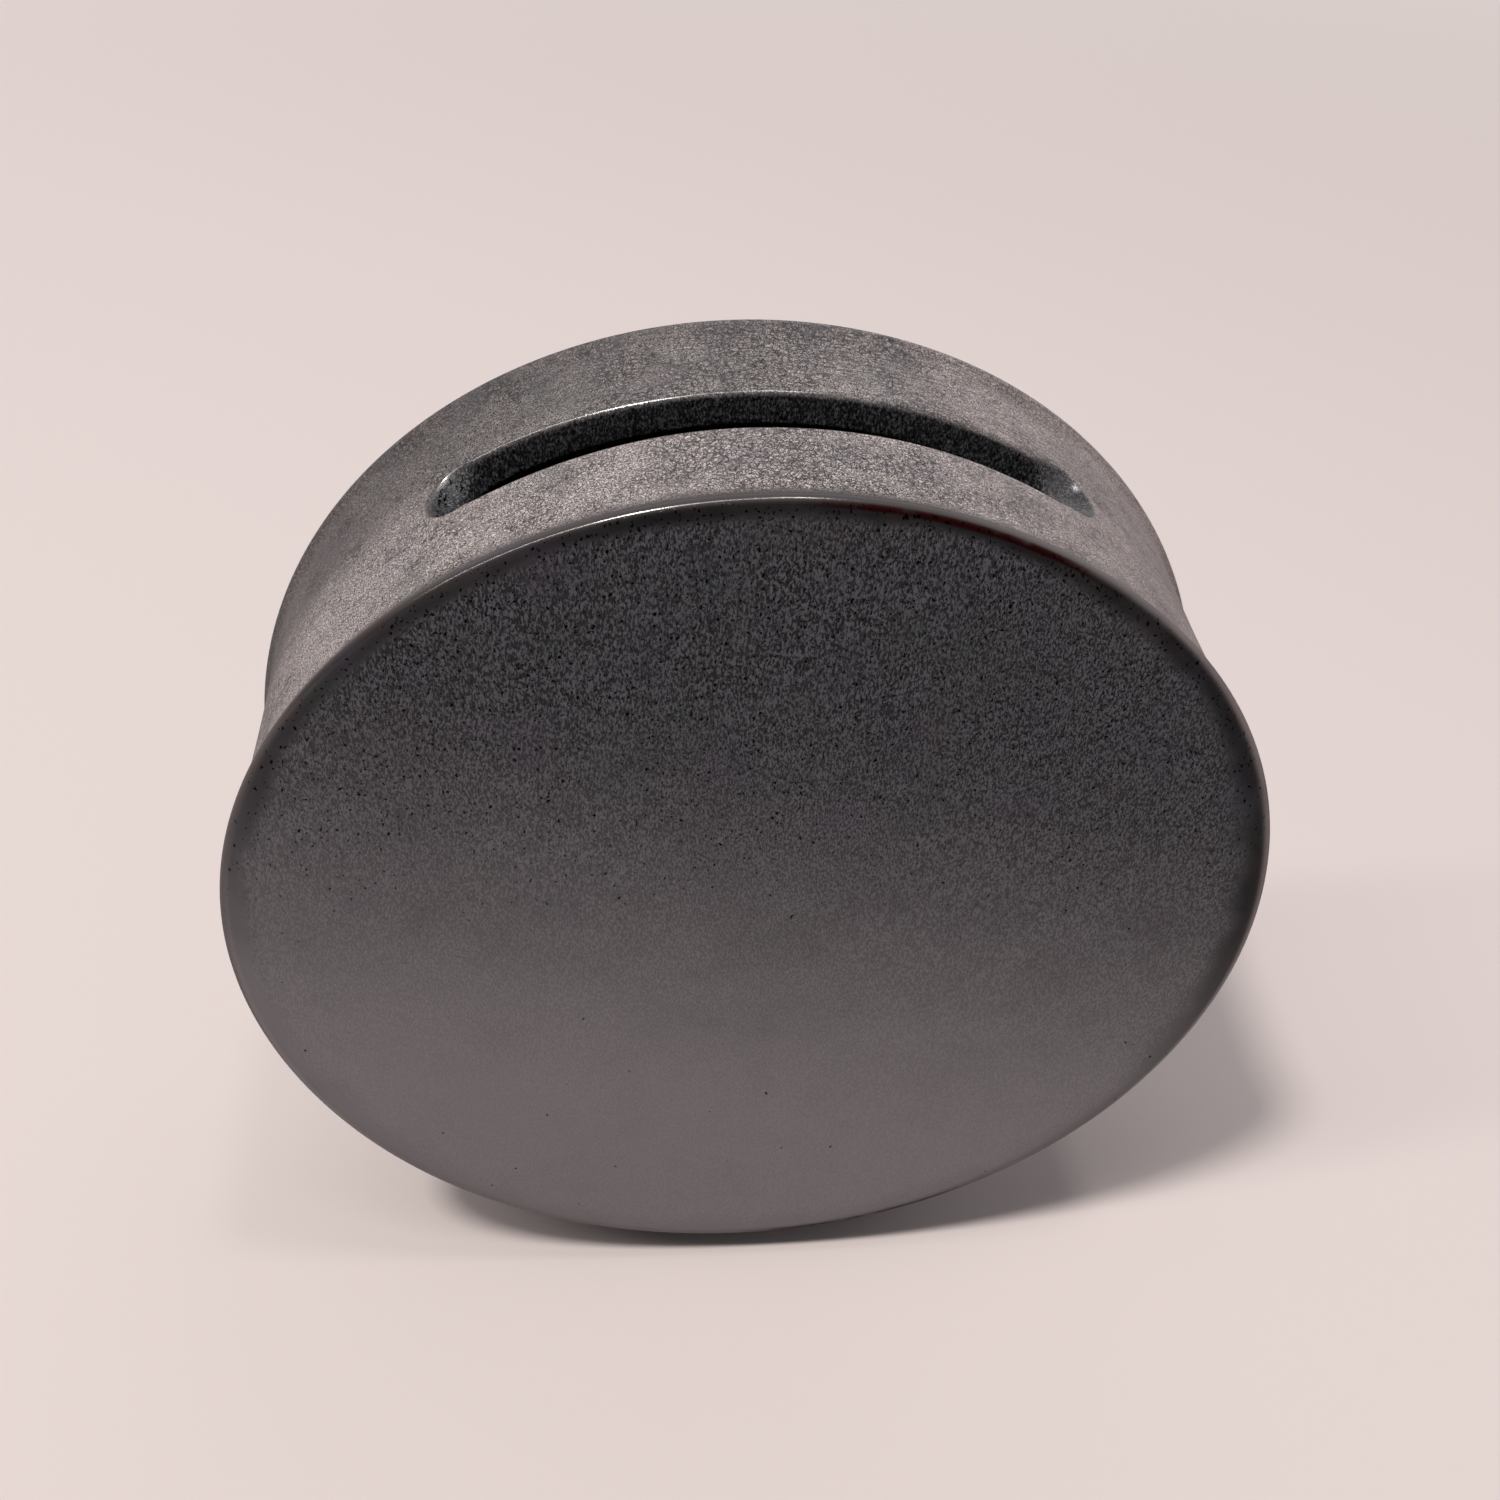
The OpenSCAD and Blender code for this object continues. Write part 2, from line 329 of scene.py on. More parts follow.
    # the pale flakes stand partly for painted light from above
    bandColour = add(tree, mixNode, {0: flakeTone, 6: look["crack"], 7: look["flake"]}, **inColour)
    bandColour = add(tree, mixNode, {0: thinAndShadeTone, 6: bandColour.outputs[2],
                     7: look["thinGlazeAndShade"]}, **inColour)
    # painted light: the band is paler and pinker towards the right
    rightLit = add(tree, rangeNode, {"Value": x, "From Min": 25.0, "From Max": 100.0,
              "To Max": look["rightLitMost"]})
    bandColour = add(tree, mixNode, {0: rightLit, 6: bandColour.outputs[2], 7: look["rightLitTint"]}, **inColour)
    # painted shade deep in the slot, with pale grit, and smoother hollows
    grit = add(tree, mathNode, {0: strokes, 1: fine}, **times)
    grit = add(tree, mathNode, {0: grit, 1: 1.7}, operation="POWER")
    grit = add(tree, mathNode, {0: grit, 1: 1.5}, **times)
    slotColour = add(tree, mixNode, {0: grit, 6: look["slotShade"], 7: look["throatFlake"]}, **inColour)
    hollowColour = add(tree, mixNode, {0: flakeTone, 6: look["hollow"],
                       7: look["hollowFlake"]}, **inColour)
    paler = add(tree, rangeNode, {"Value": x, "From Min": -20.0, "From Max": 20.0, "To Min": 0.8})
    paler = add(tree, mathNode, {0: hollow, 1: paler}, **times)
    slotColour = add(tree, mixNode, {0: paler, 6: slotColour.outputs[2],
                     7: hollowColour.outputs[2]}, **inColour)

    colour = add(tree, mixNode, {0: onFace, 6: bandColour.outputs[2], 7: faceColour.outputs[2]},
                 **inColour)
    # faint clouds of brown, green and mauve where the glaze is thicker or thinner
    clouded = add(tree, mathNode, {0: litLowShare, 1: onFace}, **times)
    clouded = add(tree, rangeNode, {"Value": clouded, "To Min": look["cloudy"],
                  "To Max": look["cloudyLow"]})
    for tint, seed in (("brownCloud", 3.0), ("greenCloud", 41.0), ("mauveCloud", 87.0)):
        cloud = add(tree, noiseNode, {"Vector": place, "W": seed, "Detail": 3.0,
                    "Scale": 1 / look["cloudSize"], "Roughness": 0.55}, noise_dimensions="4D")
        share = add(tree, rangeNode, {"Value": cloud, "From Min": 0.50, "From Max": 0.74,
                    "To Max": clouded})
        colour = add(tree, mixNode, {0: share, 6: colour.outputs[2], 7: look[tint]}, **inColour)

    # the glaze breaks dark and rusty along the edges, more to the right of the middle
    crestLip = add(tree, mathNode, {0: crestLip, 1: between}, **times)
    crestLip = add(tree, mathNode, {0: crestLip, 1: inside}, operation="SUBTRACT", use_clamp=True)
    crestRim = add(tree, rangeNode, {"Value": across, "From Min": faceMm - 2.6,
                   "From Max": faceMm - 1.3}, **eased)
    crest = add(tree, mathNode, {0: crestLip, 1: crestRim}, operation="MAXIMUM")
    crest = add(tree, mathNode, {0: crest, 1: crestDown}, **times)
    toRight, notSide = (add(tree, rangeNode, {"Value": x, "From Min": ends[0], "From Max": ends[1],
                        "To Min": least}, **eased)
                        for ends, least in ((look["rustFrom"], 0.08), (look["rustTo"], 0.1)))
    toRight = add(tree, mathNode, {0: toRight, 1: notSide}, **times)
    torn = add(tree, noiseNode, {"Vector": place, "Scale": 0.11, "Detail": 5.0, "Roughness": 0.7})
    torn = add(tree, rangeNode, {"Value": torn, "From Min": 0.34, "From Max": 0.56, "To Min": 0.35})
    # the rust lies on the face side of the rim, as a thin line
    rust = rustLow
    for share in (rustHigh, crestRim, torn, toRight):
        rust = add(tree, mathNode, {0: rust, 1: share}, **times)
    colour = add(tree, mixNode, {0: rust, 6: colour.outputs[2], 7: look["rust"]}, **inColour)
    colour = add(tree, mixNode, {0: inside, 6: colour.outputs[2], 7: slotColour.outputs[2]}, **inColour)

    # pinholes, thickest near the top of the faces and down in the slot
    tall = add(tree, mathNode, {0: z, 1: look["pitFlat"]}, **times)
    upright = add(tree, "ShaderNodeCombineXYZ", {0: x, 1: tall})
    uneven = add(tree, noiseNode, {"Vector": place, "Scale": 1.1, "Detail": 3.0, "Roughness": 0.7})
    upright = add(tree, vectorNode, {0: uneven.outputs["Color"], 1: (1.6, 1.6, 0.0),
                  2: upright}, **timesPlus)
    pits = add(tree, "ShaderNodeTexVoronoi", {"Vector": upright, "Scale": 1 / look["pitSize"]},
               voronoi_dimensions="2D")
    pick = add(tree, "ShaderNodeSeparateColor", {0: pits.outputs["Color"]}).outputs
    clusters = add(tree, noiseNode, {"Vector": place, "Scale": 0.12, "Detail": 2.0})
    clusters = add(tree, rangeNode, {"Value": clusters, "From Min": 0.3, "From Max": 0.65,
                   "To Min": 0.25, "To Max": 1.0})
    few, many = look["pitHeight"]
    high = add(tree, rangeNode, {"Value": z, "From Min": few, "From Max": many,
               "To Min": 0.004, "To Max": 0.95}, **eased)
    high = add(tree, mathNode, {0: high, 1: clusters}, **times)
    here = add(tree, mathNode, {0: pick[0], 1: high}, operation="LESS_THAN")
    size = add(tree, mathNode, {0: pick[1], 1: 3.0}, operation="POWER")
    size = add(tree, mathNode, {0: size, 1: 0.2, 2: 0.17}, **timesPlus)
    core = add(tree, mathNode, {0: size, 1: 0.45}, **times)
    hole = add(tree, rangeNode, {"Value": pits.outputs["Distance"], "From Min": size,
               "From Max": core}, **eased)
    hole = add(tree, mathNode, {0: hole, 1: here}, **times)
    smooth = add(tree, rangeNode, {"Value": x, "From Min": -20.0, "From Max": 20.0})
    smooth = add(tree, mathNode, {0: smooth, 1: hollow}, **times)
    pitArea = add(tree, mathNode, {0: inside, 1: smooth}, operation="SUBTRACT")
    pitArea = add(tree, mathNode, {0: onFace, 1: pitArea}, operation="MAXIMUM")
    hole = add(tree, mathNode, {0: hole, 1: pitArea}, **times)
    colour = add(tree, mixNode, {0: hole, 6: colour.outputs[2], 7: look["pit"]}, **inColour)
    # bare clay on the foot's standing edge
    bare = add(tree, rangeNode, {"Value": z, "From Min": 0.9 - axisMm, "From Max": 0.5 - axisMm})
    colour = add(tree, mixNode, {0: bare, 6: colour.outputs[2], 7: look["clay"]}, **inColour)

    # relief in millimetres: crystals and flakes stand up, lines and pinholes sink in
    faceRelief = add(tree, mathNode, {0: faceTone, 1: look["crystalHigh"]}, **times)
    thick = add(tree, mathNode, {0: thinAndShadeTone, 1: -0.6, 2: 1.0}, **timesPlus)
    bandRelief = add(tree, mathNode, {0: flakeTone, 1: look["flakeHigh"]}, **times)
    bandRelief = add(tree, mathNode, {0: bandRelief, 1: thick}, **times)
    bandRelief = add(tree, mathNode, {0: fine, 1: look["grainHigh"], 2: bandRelief}, **timesPlus)
    # smoother on the edges and in the right hollow
    calmer = add(tree, mathNode, {0: smooth, 1: crest}, operation="MAXIMUM")
    calmer = add(tree, mathNode, {0: calmer, 1: -0.92, 2: 1.0}, **timesPlus)
    bandRelief = add(tree, mathNode, {0: bandRelief, 1: calmer}, **times)
    relief = add(tree, mixNode, {0: onFace, 2: bandRelief, 3: faceRelief})
    relief = add(tree, mathNode, {0: hole, 1: -look["pitDeep"], 2: relief}, **timesPlus)
    bump = add(tree, "ShaderNodeBump", {"Height": relief, "Distance": mm, "Strength": 1.0})

    satin = add(tree, rangeNode, {"Value": fine, "From Min": 0.3, "From Max": 0.7,
                "To Min": look["satin"][0], "To Max": look["satin"][1]})
    polished = add(tree, mathNode, {0: rust, 1: -0.8, 2: 1.0}, **timesPlus)
    polished = add(tree, mathNode, {0: polished, 1: crest}, **times)
    satin = add(tree, mixNode, {0: polished, 2: satin, 3: look["edgeShine"]})
    dull = add(tree, rangeNode, {"Value": x, "From Min": -20.0, "From Max": 20.0,
               "To Min": look["leftHollow"], "To Max": look["rightHollow"]})
    satin = add(tree, mixNode, {0: hollow, 2: satin, 3: dull})
    satin = add(tree, mixNode, {0: bare, 2: satin, 3: look["clayDull"]})
    # the edges shine more, where the glaze ran thin and glassy
    glassy = add(tree, mathNode, {0: hollow, 1: paler}, **times)
    glassy = add(tree, mathNode, {0: glassy, 1: polished}, operation="MAXIMUM")
    glassy = add(tree, rangeNode, {"Value": glassy, "To Min": look["sheen"], "To Max": 1.0})
    unpitted = add(tree, mathNode, {0: rust, 1: 0.6, 2: hole}, **timesPlus)
    shaded = add(tree, mathNode, {0: faceThin, 1: onFace}, **times)
    unpitted = add(tree, mathNode, {0: shaded, 1: 0.55, 2: unpitted}, **timesPlus)
    unpitted = add(tree, mathNode, {0: 1.0, 1: unpitted}, operation="SUBTRACT", use_clamp=True)
    glassy = add(tree, mathNode, {0: glassy, 1: unpitted}, **times)
    shader = add(tree, "ShaderNodeBsdfPrincipled", {"Base Color": colour.outputs[2], "Roughness": satin,
                 "IOR": look["ior"], "Specular IOR Level": glassy, "Normal": bump})
    add(tree, "ShaderNodeOutputMaterial", {0: shader})
    return material


# Poured inner glaze: the same glaze, thinned with water, swilled round and poured out. It dries
# brown-black and uneven, with runs down the walls and a wet-looking shine.
innerLook = {"pool": "#161518", "run": "#33292a", "runWide": 5.0, "runTall": 22.0, "grain": 0.6}  # mm


def pouredGlaze():
    look = inLinear(innerLook)
    material, tree = newMaterial("pouredInnerGlaze")
    spot = add(tree, "ShaderNodeTexCoord")
    place = add(tree, "ShaderNodeMapping", {"Vector": spot.outputs["Object"], "Scale": [1 / mm] * 3})
    drawn = add(tree, "ShaderNodeMapping", {"Vector": place, "Scale": (1 / look["runWide"],
                1 / look["runWide"], 1 / look["runTall"])})
    runs = add(tree, noiseNode, {"Vector": drawn, "Scale": 1.0, "Detail": 3.0, "Distortion": 0.6})
    runShare = add(tree, rangeNode, {"Value": runs, "From Min": 0.42, "From Max": 0.66})
    grain = add(tree, noiseNode, {"Vector": place, "Scale": 1 / look["grain"], "Detail": 2.0})
    speck = add(tree, mathNode, {0: grain, 1: 0.5, 2: runShare}, **timesPlus)
    colour = add(tree, mixNode, {0: speck, 6: look["pool"], 7: look["run"]}, **inColour)
    relief = add(tree, mathNode, {0: grain, 1: 0.06, 2: runs}, **timesPlus)
    bump = add(tree, "ShaderNodeBump", {"Height": relief, "Distance": mm, "Strength": 0.4})
    shine = add(tree, rangeNode, {"Value": runs, "From Min": 0.3, "From Max": 0.7,
                "To Min": 0.28, "To Max": 0.42})
    shader = add(tree, "ShaderNodeBsdfPrincipled", {"Base Color": colour.outputs[2], "Roughness": shine,
                 "IOR": 1.5, "Normal": bump})
    add(tree, "ShaderNodeOutputMaterial", {0: shader})
    return material


# the two round face slabs: [crisp, soft] edges, crisp at the upper left and soft towards the sides
slab = {
    "segments": 288,
    "lean": math.radians(10),              # the crispest place, left of the top
    "crispTo": (0.9, -0.1),                # cosines from there between which the edge goes soft
    "rings": (0, 30 * mm, 60 * mm, 80 * mm),    # radii of the inner face's first rings
    "steps": (12, 6, 20, 26),              # points of the flare, under side, roll and face
    "edgeIn": (1.9 * mm, 7.5 * mm),        # how far in from the rim the face starts to roll over
    "edgeDeep": (1.6 * mm, 3.6 * mm),      # how deep the roll is
    "wobble": 0.18 * mm,                   # hand-rolled unevenness of the faces
    "wobbleSize": 46 * mm,
    "flatFrom": 1.2 * mm, "flatTo": 0.1 * mm,    # depths where that unevenness starts and is full
    "weld": 0.005 * mm,
}
glaze = satinGlaze()
innerGlaze = pouredGlaze()
print("glazes mixed")


def slabProfile(edge, deep):  # [radius, distance from the mid-plane], from the inner face out and round
    rim, side, face, seam = vase["rim"], vase["band"], vase["face"], vase["seam"]
    run, drop = face - seam - deep, rim - side
    flare = (run * run + drop * drop) / (2 * drop) - deep
    sweep = math.atan2(run, flare + deep - drop)
    flareSteps, underSteps, rollSteps, faceSteps = slab["steps"]
    line = [(r, seam) for r in (*slab["rings"], vase["bore"])]
    # hollow flare, tangent to the band, then the under side of the rim, then over onto the face
    turns = [sweep * i / flareSteps for i in range(flareSteps + 1)]
    line += [(side + flare * (1 - math.cos(a)), seam + flare * math.sin(a)) for a in turns]
    turns = [sweep * (i / underSteps - 1) for i in range(1, underSteps + 1)]
    line += [(rim - deep + deep * math.cos(a), face - deep + deep * math.sin(a)) for a in turns]
    turns = [math.pi / 2 * i / rollSteps for i in range(1, rollSteps + 1)]
    line += [(rim - edge + edge * math.cos(a), face - deep + deep * math.sin(a)) for a in turns]
    last = line[-1][0]
    line += [(last * (1 - i / faceSteps), face) for i in range(1, faceSteps + 1)]
    return line


def turnedSlabTree():  # a profile's points are swept round the disc's axis
    tree = bpy.data.node_groups.new("turnedSlab", "GeometryNodeTree")
    ports = {}
    for name, kind in (("Profile", "Geometry"), ("Segments", "Int"), ("Axis Height", "Float"),
                       ("Lean", "Float"), ("Wobble Height", "Float"), ("Wobble Size", "Float"),
                       ("Flat From", "Float"), ("Flat To", "Float"), ("Seed", "Float"),
                       ("Glaze", "Material")):
        ports[name] = tree.interface.new_socket(name, in_out="INPUT", socket_type="NodeSocket" + kind)
    tree.interface.new_socket("Slab", in_out="OUTPUT", socket_type="NodeSocketGeometry")
    given = add(tree, "NodeGroupInput").outputs
    count = add(tree, "GeometryNodeAttributeDomainSize", {0: given["Profile"]}).outputs["Point Count"]
    around = add(tree, mathNode, {0: given["Segments"], 1: 1.0}, operation="ADD")
    grid = add(tree, "GeometryNodeMeshGrid", {"Vertices X": around, "Vertices Y": count})
    index = add(tree, "GeometryNodeInputIndex")
    row = add(tree, mathNode, {0: index, 1: count}, operation="MODULO")
    column = add(tree, mathNode, {0: index, 1: count}, operation="DIVIDE")
    column = add(tree, mathNode, {0: column}, operation="FLOOR")
    share = add(tree, mathNode, {0: column, 1: given["Segments"]}, operation="DIVIDE")
    angle = add(tree, mathNode, {0: share, 1: math.tau}, **times)
    sine = add(tree, mathNode, {0: angle}, operation="SINE")
    cosine = add(tree, mathNode, {0: angle}, operation="COSINE")
    # the edge goes from crisp to soft away from the leaning top
    leaned = add(tree, mathNode, {0: angle, 1: given["Lean"]}, operation="ADD")
    leaned = add(tree, mathNode, {0: leaned}, operation="COSINE")
    crisp, soft = slab["crispTo"]
    softness = add(tree, rangeNode, {"Value": leaned, "From Min": crisp, "From Max": soft}, **eased)
    firm = add(tree, rangeNode, {"Value": cosine, "From Min": -0.3, "From Max": -1.0,
               "To Min": 1.0, "To Max": 0.45}, **eased)
    softness = add(tree, mathNode, {0: softness, 1: firm}, **times)
    where = add(tree, "GeometryNodeInputPosition")
    softer = add(tree, "GeometryNodeInputNamedAttribute", {"Name": "softer"}, data_type="FLOAT_VECTOR")
    crispSpot = add(tree, "GeometryNodeSampleIndex", {"Geometry": given["Profile"], "Value": where,
                    "Index": row}, data_type="FLOAT_VECTOR")
    softSpot = add(tree, "GeometryNodeSampleIndex", {"Geometry": given["Profile"], "Value": softer,
                   "Index": row}, data_type="FLOAT_VECTOR")
    spot = add(tree, mixNode, {0: softness, 4: crispSpot, 5: softSpot}, data_type="VECTOR")
    parts = add(tree, "ShaderNodeSeparateXYZ", {0: spot.outputs[1]}).outputs
    outX = add(tree, mathNode, {0: parts[0], 1: sine}, **times)
    outZ = add(tree, mathNode, {0: parts[0], 1: cosine, 2: given["Axis Height"]}, **timesPlus)
    spun = add(tree, "ShaderNodeCombineXYZ", {0: outX, 1: parts[1], 2: outZ})
    turned = add(tree, "GeometryNodeSetPosition", {"Geometry": grid, "Position": spun})
    # hand-rolled unevenness: only the face sinks a little, so the seam still meets the band
    scale = add(tree, mathNode, {0: 1.0, 1: given["Wobble Size"]}, operation="DIVIDE")
    lumps = add(tree, noiseNode, {"Vector": where, "W": given["Seed"], "Scale": scale,
                "Detail": 1.0}, noise_dimensions="4D")
    lumps = add(tree, rangeNode, {"Value": lumps, "From Min": 0.2, "From Max": 0.8,
                "To Min": -1.0, "To Max": 0.0})
    height = add(tree, "ShaderNodeSeparateXYZ", {0: where}).outputs[1]
    reach = add(tree, mathNode, {0: height}, operation="ABSOLUTE")
    side = add(tree, mathNode, {0: height}, operation="SIGN")
    onFace = add(tree, rangeNode, {"Value": reach, "From Min": given["Flat From"],
                 "From Max": given["Flat To"]}, **eased)
    lift = lumps
    for share in (given["Wobble Height"], onFace, side):
        lift = add(tree, mathNode, {0: lift, 1: share}, **times)
    offset = add(tree, "ShaderNodeCombineXYZ", {1: lift})
    uneven = add(tree, "GeometryNodeSetPosition", {"Geometry": turned, "Offset": offset})
    welded = add(tree, "GeometryNodeMergeByDistance", {"Geometry": uneven, "Distance": slab["weld"]})
    real = add(tree, "GeometryNodeRealizeInstances", {0: welded})
    dressed = add(tree, "GeometryNodeSetMaterial", {"Geometry": real, "Material": given["Glaze"]})
    add(tree, "NodeGroupOutput", {0: dressed})
    return tree, ports


def makeSlab(name, side, seed):  # side is -1 for the front, 1 for the back
    crisp, soft = (slabProfile(*pair) for pair in zip(slab["edgeIn"], slab["edgeDeep"]))
    mesh = bpy.data.meshes.new(name + "Profile")
    mesh.from_pydata([(r, side * a, 0) for r, a in crisp], [(i, i + 1) for i in range(len(crisp) - 1)], [])
    softer = mesh.attributes.new("softer", "FLOAT_VECTOR", "POINT")
    for i, (r, a) in enumerate(soft):
        softer.data[i].vector = (r, side * a, 0)
    blank = bpy.data.objects.new(name + "Profile", mesh)
    show(blank)
    turning = blank.modifiers.new("turning", "NODES")
    turning.node_group = slabTree
    for port, value in (("Segments", slab["segments"]), ("Axis Height", vase["axis"]),
                        ("Lean", slab["lean"]), ("Wobble Height", slab["wobble"]),
                        ("Wobble Size", slab["wobbleSize"]), ("Seed", seed), ("Glaze", glaze),
                        ("Flat From", vase["face"] - slab["flatFrom"]),
                        ("Flat To", vase["face"] - slab["flatTo"])):
        turning[slabPorts[port].identifier] = value
    shown = blank.evaluated_get(bpy.context.evaluated_depsgraph_get())
    made = bpy.data.meshes.new_from_object(shown)
    bpy.data.objects.remove(blank)
    return meshPiece(name, made)


slabTree, slabPorts = turnedSlabTree()
frontFace = makeSlab("frontFace", -1, 2.0)
backFace = makeSlab("backFace", 1, 7.0)
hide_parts("front_slab")
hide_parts("back_slab")

# the side band, in two strips with scarfed ends
band = {
    "waist": 0.35 * mm,                # how far the band is drawn in at its middle
    "ripple": 0.12 * mm,               # finger-smoothed unevenness
    "rippleSize": 34 * mm,
    "patch": 24 * mm,                  # the mesh round the slot runs this far past its ends
    "scarfOut": math.radians(87.96),   # where the strips meet, seen outside
    "scarfIn": math.radians(92.3),     # and inside
    "steps": {"wall": 4, "upper": 44, "lower": 160, "across": 28},    # mesh steps
}
mouth = {
    "half": 6.0 * mm,                  # half the slot's width at its middle
    "spread": 0.8 * mm,                # the slot opens by this much more on each side at its ends
    "length": 127 * mm,                # over the finger hollows, straight across
    "run": 5 * mm,                     # the hollows run on this far past the slot
    "shift": 0.5 * mm,                 # how far the mouth lies behind the band's middle
    "lip": 1.3 * mm,                   # roundness of the outer lip
    "inner": 1.0 * mm,                 # softened inner edge
    "hollow": {-1: 7.25 * mm, 1: 8.15 * mm},    # half width of the left and the right hollow
    "hollowBack": {-1: 0.0, 1: 1.5 * mm},       # the right one was pressed a little from behind
    "hollowDeep": 4.5 * mm,
    "rings": (9, 24, 13, 5, 5, 6),     # rows: patch, near the lip, lip, wall, inner edge, bore
    "near": 9 * mm,                    # closer rows start this far from the slot
    "widenFrom": 16 * mm,              # the slot starts to open this far from its middle
    "hollowSoft": 0.7 * mm,            # how softly a hollow starts
    "fans": (14, 32, 110),             # columns: each corner, each end and each side of the patch
}
for place, back in (("endAt", mouth["run"] + mouth["half"]), ("hollowAt", mouth["hollow"][-1])):
    mouth[place] = vase["band"] * math.asin((mouth["length"] / 2 - back) / vase["band"])


def bandPoint(along, across, depth):  # along and across the outside, and depth into the wall
    edge = abs(across) / vase["seam"]
    skin = max(0.0, 1 - depth / vase["wall"])
    turn = along / vase["band"]
    out = Vector((math.sin(turn), 0, math.cos(turn)))
    base = Vector((0, across, vase["axis"])) + out * vase["band"]
    dip = band["waist"] * (1 - edge ** 2)
    dip += band["ripple"] * (0.5 - noise.noise(base / band["rippleSize"])) * (1 - edge ** 4)
    return base - out * (depth + dip * skin)


def hollowDepth(along, across):  # how deep a fingertip hollow has sunk the surface
    side = 1 if along > 0 else -1
    reach, deep, soft = mouth["hollow"][side], mouth["hollowDeep"], mouth["hollowSoft"]
    ball = (reach * reach + deep * deep) / (2 * deep)
    off = math.hypot(abs(along) - mouth["hollowAt"], across - mouth["shift"] - mouth["hollowBack"][side])
    sunk = math.sqrt(ball * ball - off * off) - (ball - deep) if off < ball else deep - off
    if abs(sunk) < soft:
        return (sunk + soft) ** 2 / (4 * soft)
    return max(sunk, 0.0)


def slotColumns():  # (middle line, way out, point on the patch's edge) all round the slot
    seam = vase["seam"]
    high, low = seam - mouth["shift"], seam + mouth["shift"]
    upper, lower = math.atan2(high, band["patch"]), math.atan2(low, band["patch"])
    corner, end, steps = mouth["fans"]
    turns = [math.pi / 2 + (upper - math.pi / 2) * i / corner for i in range(corner)]
    turns += [upper - (upper + lower) * i / end for i in range(end)]
    turns += [-lower + (lower - math.pi / 2) * i / corner for i in range(corner + 1)]
    right = []
    for a in turns:
        way = Vector((math.cos(a), math.sin(a)))
        limits = [band["patch"] / way.x] if way.x > 1e-6 else []
        if way.y > 1e-6:
            limits.append(high / way.y)
        if way.y < -1e-6:
            limits.append(low / -way.y)
        core = Vector((mouth["endAt"], mouth["shift"]))
        right.append((core, way, core + way * min(limits)))
    lines = [mouth["endAt"] * (1 - 2 * i / steps) for i in range(1, steps)]
    bottom = [(Vector((s, mouth["shift"])), Vector((0, -1)), Vector((s, -seam))) for s in lines]
    left = [(Vector((-c.x, c.y)), Vector((-w.x, w.y)), Vector((-e.x, e.y))) for c, w, e in reversed(right)]
    top = [(Vector((-s, mouth["shift"])), Vector((0, 1)), Vector((-s, seam))) for s in lines]
    return right + bottom + left + top + right[:1], right


def slotRow(core, way, edge):  # from the patch's edge, over the lip and down to the bore
    lip, inner, wall = mouth["lip"], mouth["inner"], vase["wall"]
    near, widen = mouth["near"], mouth["widenFrom"]
    patchRows, nearRows, lipRows, wallRows, innerRows, boreRows = mouth["rings"]
    opened = min(max((abs(core.x) - widen) / (mouth["endAt"] - widen), 0.0), 1.0)
    half = mouth["half"] + mouth["spread"] * opened * opened * (3 - 2 * opened)
    row = []

    def surface(gap):  # at a gap from the slot's wall, measured across the outside
        p = core + way * (half + gap)
        fall = lip - math.sqrt(max(lip * lip - (lip - gap) ** 2, 0.0)) if gap < lip else 0.0
        row.append((p, hollowDepth(p.x, p.y) + fall))

    start = (edge - core).length - half
    for i in range(patchRows):
        surface(start + (near - start) * i / patchRows)
    for i in range(nearRows):
        surface(near + (lip - near) * i / nearRows)
    for i in range(lipRows):
        surface(lip * (1 - math.sin(math.pi / 2 * i / (lipRows - 1))))
    floorPoint, deep = row[-1]
    for i in range(1, wallRows + 1):
        row.append((floorPoint, deep + (wall - inner - deep) * i / wallRows))
    for i in range(1, innerRows + 1):
        a = math.pi / 2 * i / innerRows
        row.append((core + way * (half + inner * (1 - math.cos(a))), wall - inner * (1 - math.sin(a))))
    finish = row[-1][0]
    row.extend((finish.lerp(edge, i / boreRows), wall) for i in range(1, boreRows + 1))
    return [bandPoint(p.x, p.y, d) for p, d in row]


def stripSheets(at, rows, steps):  # outside, inside and both seam faces; at(i, depth) is along the band
    wall, seam = vase["wall"], vase["seam"]
    layers = band["steps"]["wall"]
    depths = [wall * i / layers for i in range(layers + 1)]
    sheets = [[[bandPoint(at(i, d), a, d) for a in rows] for i in range(steps + 1)] for d in (0.0, wall)]
    sheets += [[[bandPoint(at(i, d), rim, d) for d in depths] for i in range(steps + 1)]
               for rim in (seam, -seam)]
    return sheets, depths


def scarfAt(depth):
    share = depth / vase["wall"]
    return vase["band"] * (band["scarfOut"] + (band["scarfIn"] - band["scarfOut"]) * share)


def makeMouthStrip():
    seam = vase["seam"]
    columns, right = slotColumns()
    start, steps = mouth["endAt"] + band["patch"], band["steps"]["upper"]
    rows = [c[2].y for c in right if abs(c[2].x - start) < 1e-7]
    sheets = [[slotRow(*column) for column in columns]]
    for side in (-1, 1):  # from the patch out to the scarf joints

        def at(i, d, side=side):
            return side * (start + (scarfAt(d) - start) * i / steps)

        more, depths = stripSheets(at, rows, steps)
        sheets += more + [[[bandPoint(at(steps, d), a, d) for a in rows] for d in depths]]
    for rim in (seam, -seam):  # seam faces beside the slot
        beside = sorted({round(c[2].x, 9) for c in columns if abs(c[2].y - rim) < 1e-7})
        sheets.append([[bandPoint(s, rim, d) for d in depths] for s in beside])
    return meshPiece("mouthStrip", sheetsToMesh("mouthStrip", sheets), glaze)


